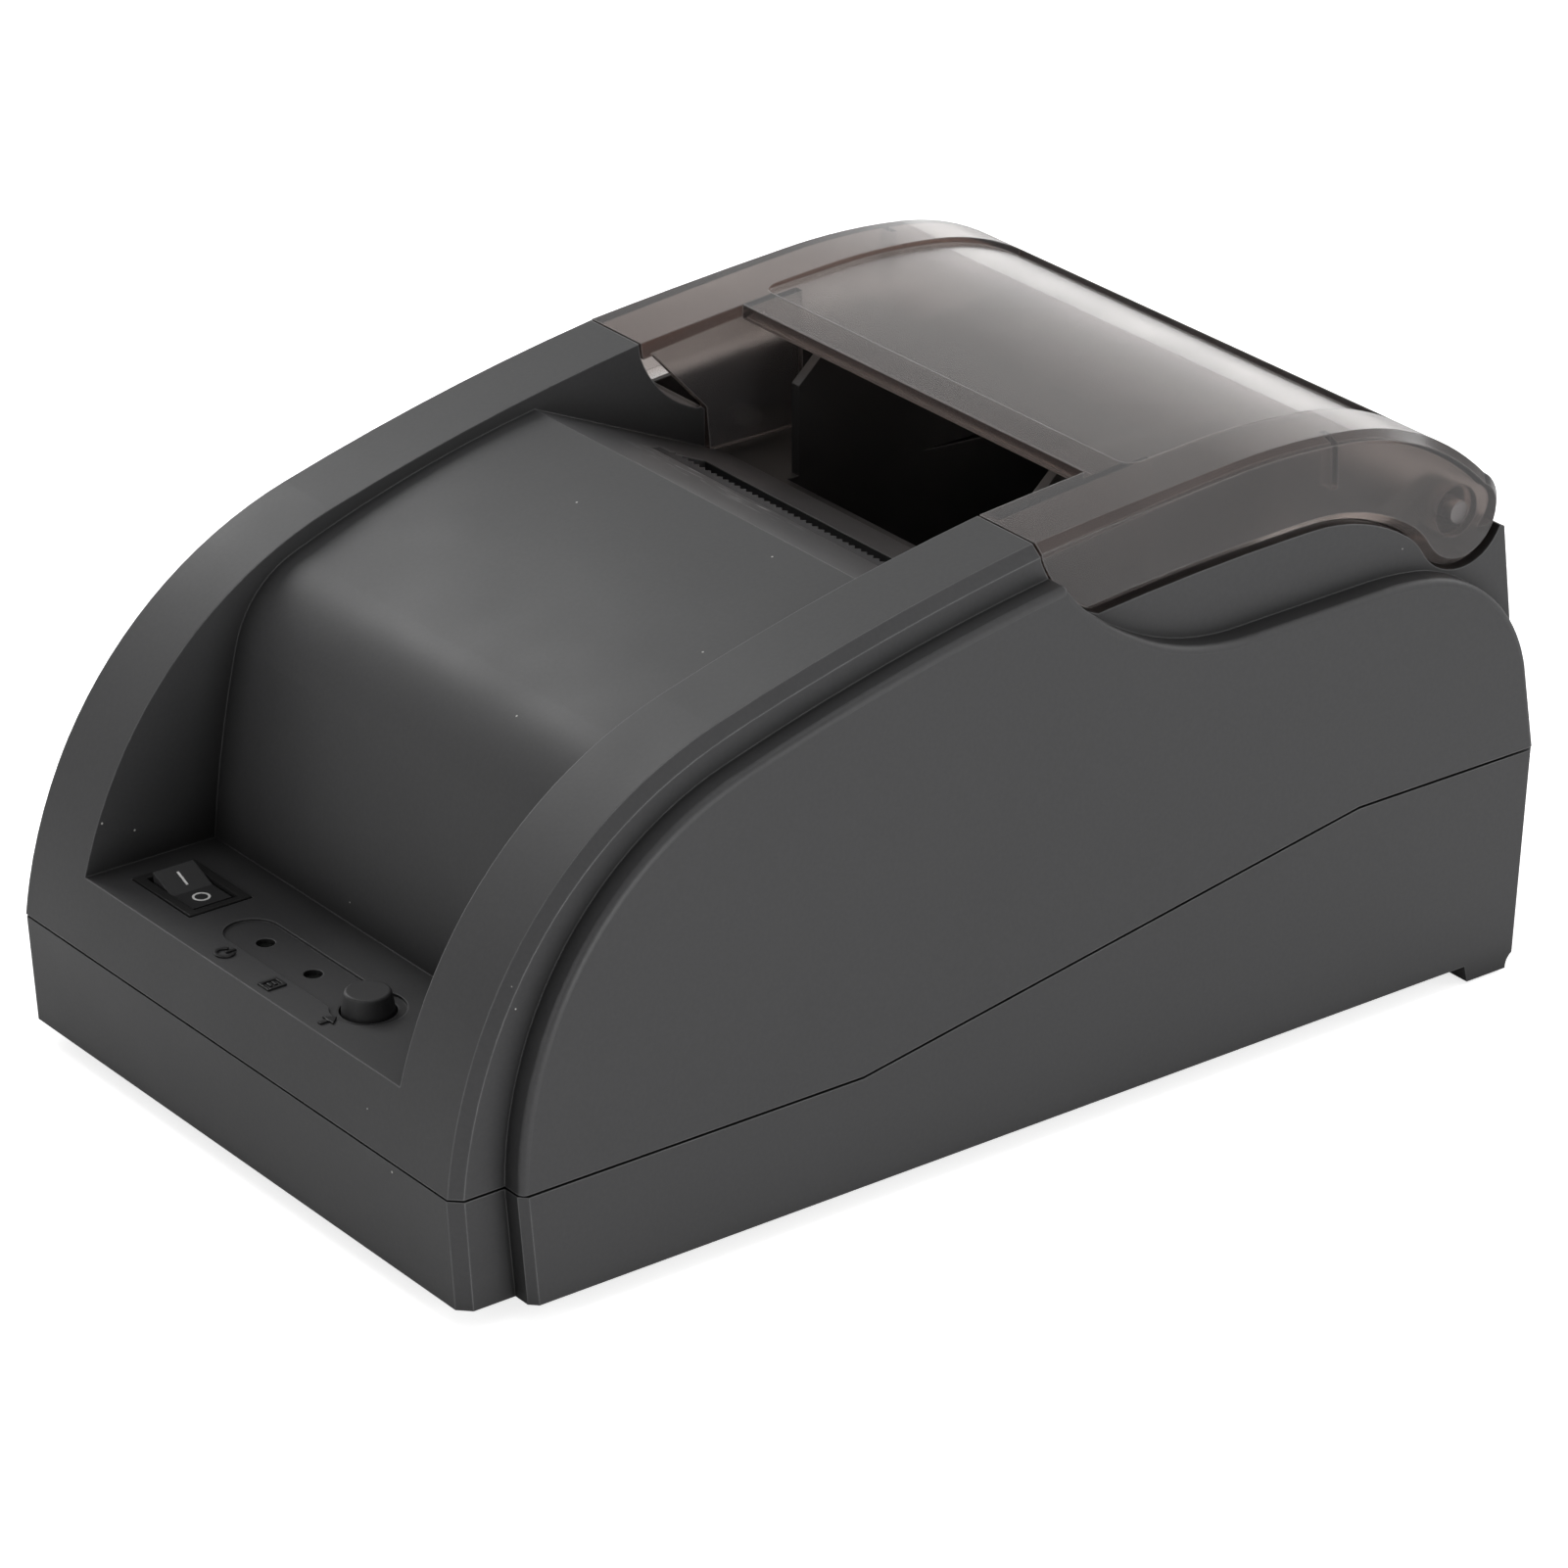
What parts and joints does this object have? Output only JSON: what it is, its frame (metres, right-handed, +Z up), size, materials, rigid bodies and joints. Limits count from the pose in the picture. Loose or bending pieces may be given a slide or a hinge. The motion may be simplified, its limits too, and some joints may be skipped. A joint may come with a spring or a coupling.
{
  "type": "receipt printer",
  "caption": "Desktop thermal receipt printer with an arched front, a control shelf, a paper slot with a tear bar and a smoked cover that hinges up over the roll.",
  "frame": {"origin": "middle of the footprint, on the surface that the feet stand on", "axes": "+Z up, -Y towards the operator at the control shelf, +X to the printer's right as the operator sees it"},
  "size_m": [0.133, 0.2138, 0.1037],
  "materials": {
    "case_plastic": "finely textured dark grey ABS",
    "smoked_plastic": "smoked brownish translucent, satin",
    "bucket_plastic": "plain black",
    "button_plastic": "plain black",
    "rubber": "matt black",
    "steel": "bright zinc",
    "aluminium": "milled",
    "ceramic": "glazed ceramic",
    "gear_plastic": "natural acetal",
    "circuit_board": "green solder mask",
    "black_plastic": "moulded black",
    "lamp": "clear lens, unlit",
    "brass": "plain",
    "connector_plastic": "natural nylon",
    "ribbon": "flat cable"
  },
  "bodies": {
    "housing": {"board_capacitors": "black_plastic", "board_chips": "black_plastic", "board_connectors": "connector_plastic", "board_screws": "steel", "bucket_screws": "steel", "buzzer": "black_plastic", "case_screws": "steel", "drawer_socket": "black_plastic", "front_foot_left": "rubber", "front_foot_right": "rubber", "head_ribbon": "ribbon", "head_springs": "steel", "heat_sink": "aluminium", "hinge_pin_left": "steel", "hinge_pin_right": "steel", "idler_axle": "steel", "lower_case": "case_plastic", "main_board": "circuit_board", "mech_frame": "steel", "mech_screws": "steel", "motor_ribbon": "ribbon", "panel_board": "circuit_board", "panel_ribbon": "ribbon", "panel_screws": "steel", "paper_bucket": "bucket_plastic", "paper_sensor": "black_plastic", "platen_bush_left": "gear_plastic", "platen_bush_right": "gear_plastic", "power_lamp": "lamp", "power_socket": "black_plastic", "rear_foot_left": "rubber", "rear_foot_right": "rubber", "rocker_body": "bucket_plastic", "rocker_terminals": "brass", "status_lamp": "lamp", "stepper_motor": "steel", "switch_leads": "ribbon", "tact_switch": "black_plastic", "tear_bar": "steel", "thermal_head": "ceramic", "upper_case": "case_plastic", "usb_socket": "steel"},
    "cover": {"paper_cover": "smoked_plastic"},
    "rocker": {"rocker_cap": "button_plastic"},
    "button": {"feed_button": "button_plastic", "tact_plunger": "black_plastic"},
    "platen": {"platen_roller": "rubber", "platen_shaft": "steel", "platen_gear": "gear_plastic"},
    "idler": {"idler_gear": "gear_plastic"},
    "motor_rotor": {"motor_shaft": "steel", "motor_pinion": "gear_plastic"}
  },
  "joints": [
    {"name": "cover_hinge", "type": "hinge", "parent": "housing", "child": "cover", "pos_m": [0, 0.09335, 0.08315], "axis": [-1, 0, 0], "range_deg": [0, 100]},
    {"name": "rocker_tilt", "type": "hinge", "parent": "housing", "child": "rocker", "pos_m": [-0.0311, -0.0931, 0.0322], "axis": [0, -1, 0], "range_deg": [0, 22]},
    {"name": "feed_press", "type": "slide", "parent": "housing", "child": "button", "axis": [0, 0, -1], "range_m": [0, 0.0005], "stiffness_N_per_m": 600, "springref_m": -0.001},
    {"name": "platen_spin", "type": "hinge", "parent": "housing", "child": "platen", "pos_m": [0, 0.0095, 0.066], "axis": [1, 0, 0], "continuous": true},
    {"name": "idler_spin", "type": "hinge", "parent": "housing", "child": "idler", "pos_m": [0.0398, -0.00828, 0.05355], "axis": [1, 0, 0], "continuous": true},
    {"name": "motor_spin", "type": "hinge", "parent": "housing", "child": "motor_rotor", "pos_m": [0.0398, -0.02416, 0.05933], "axis": [1, 0, 0], "continuous": true}
  ],
  "couplings": [
    {"joint": "idler_spin", "follows": "platen_spin", "ratio": -0.8},
    {"joint": "motor_spin", "follows": "platen_spin", "ratio": 2}
  ]
}
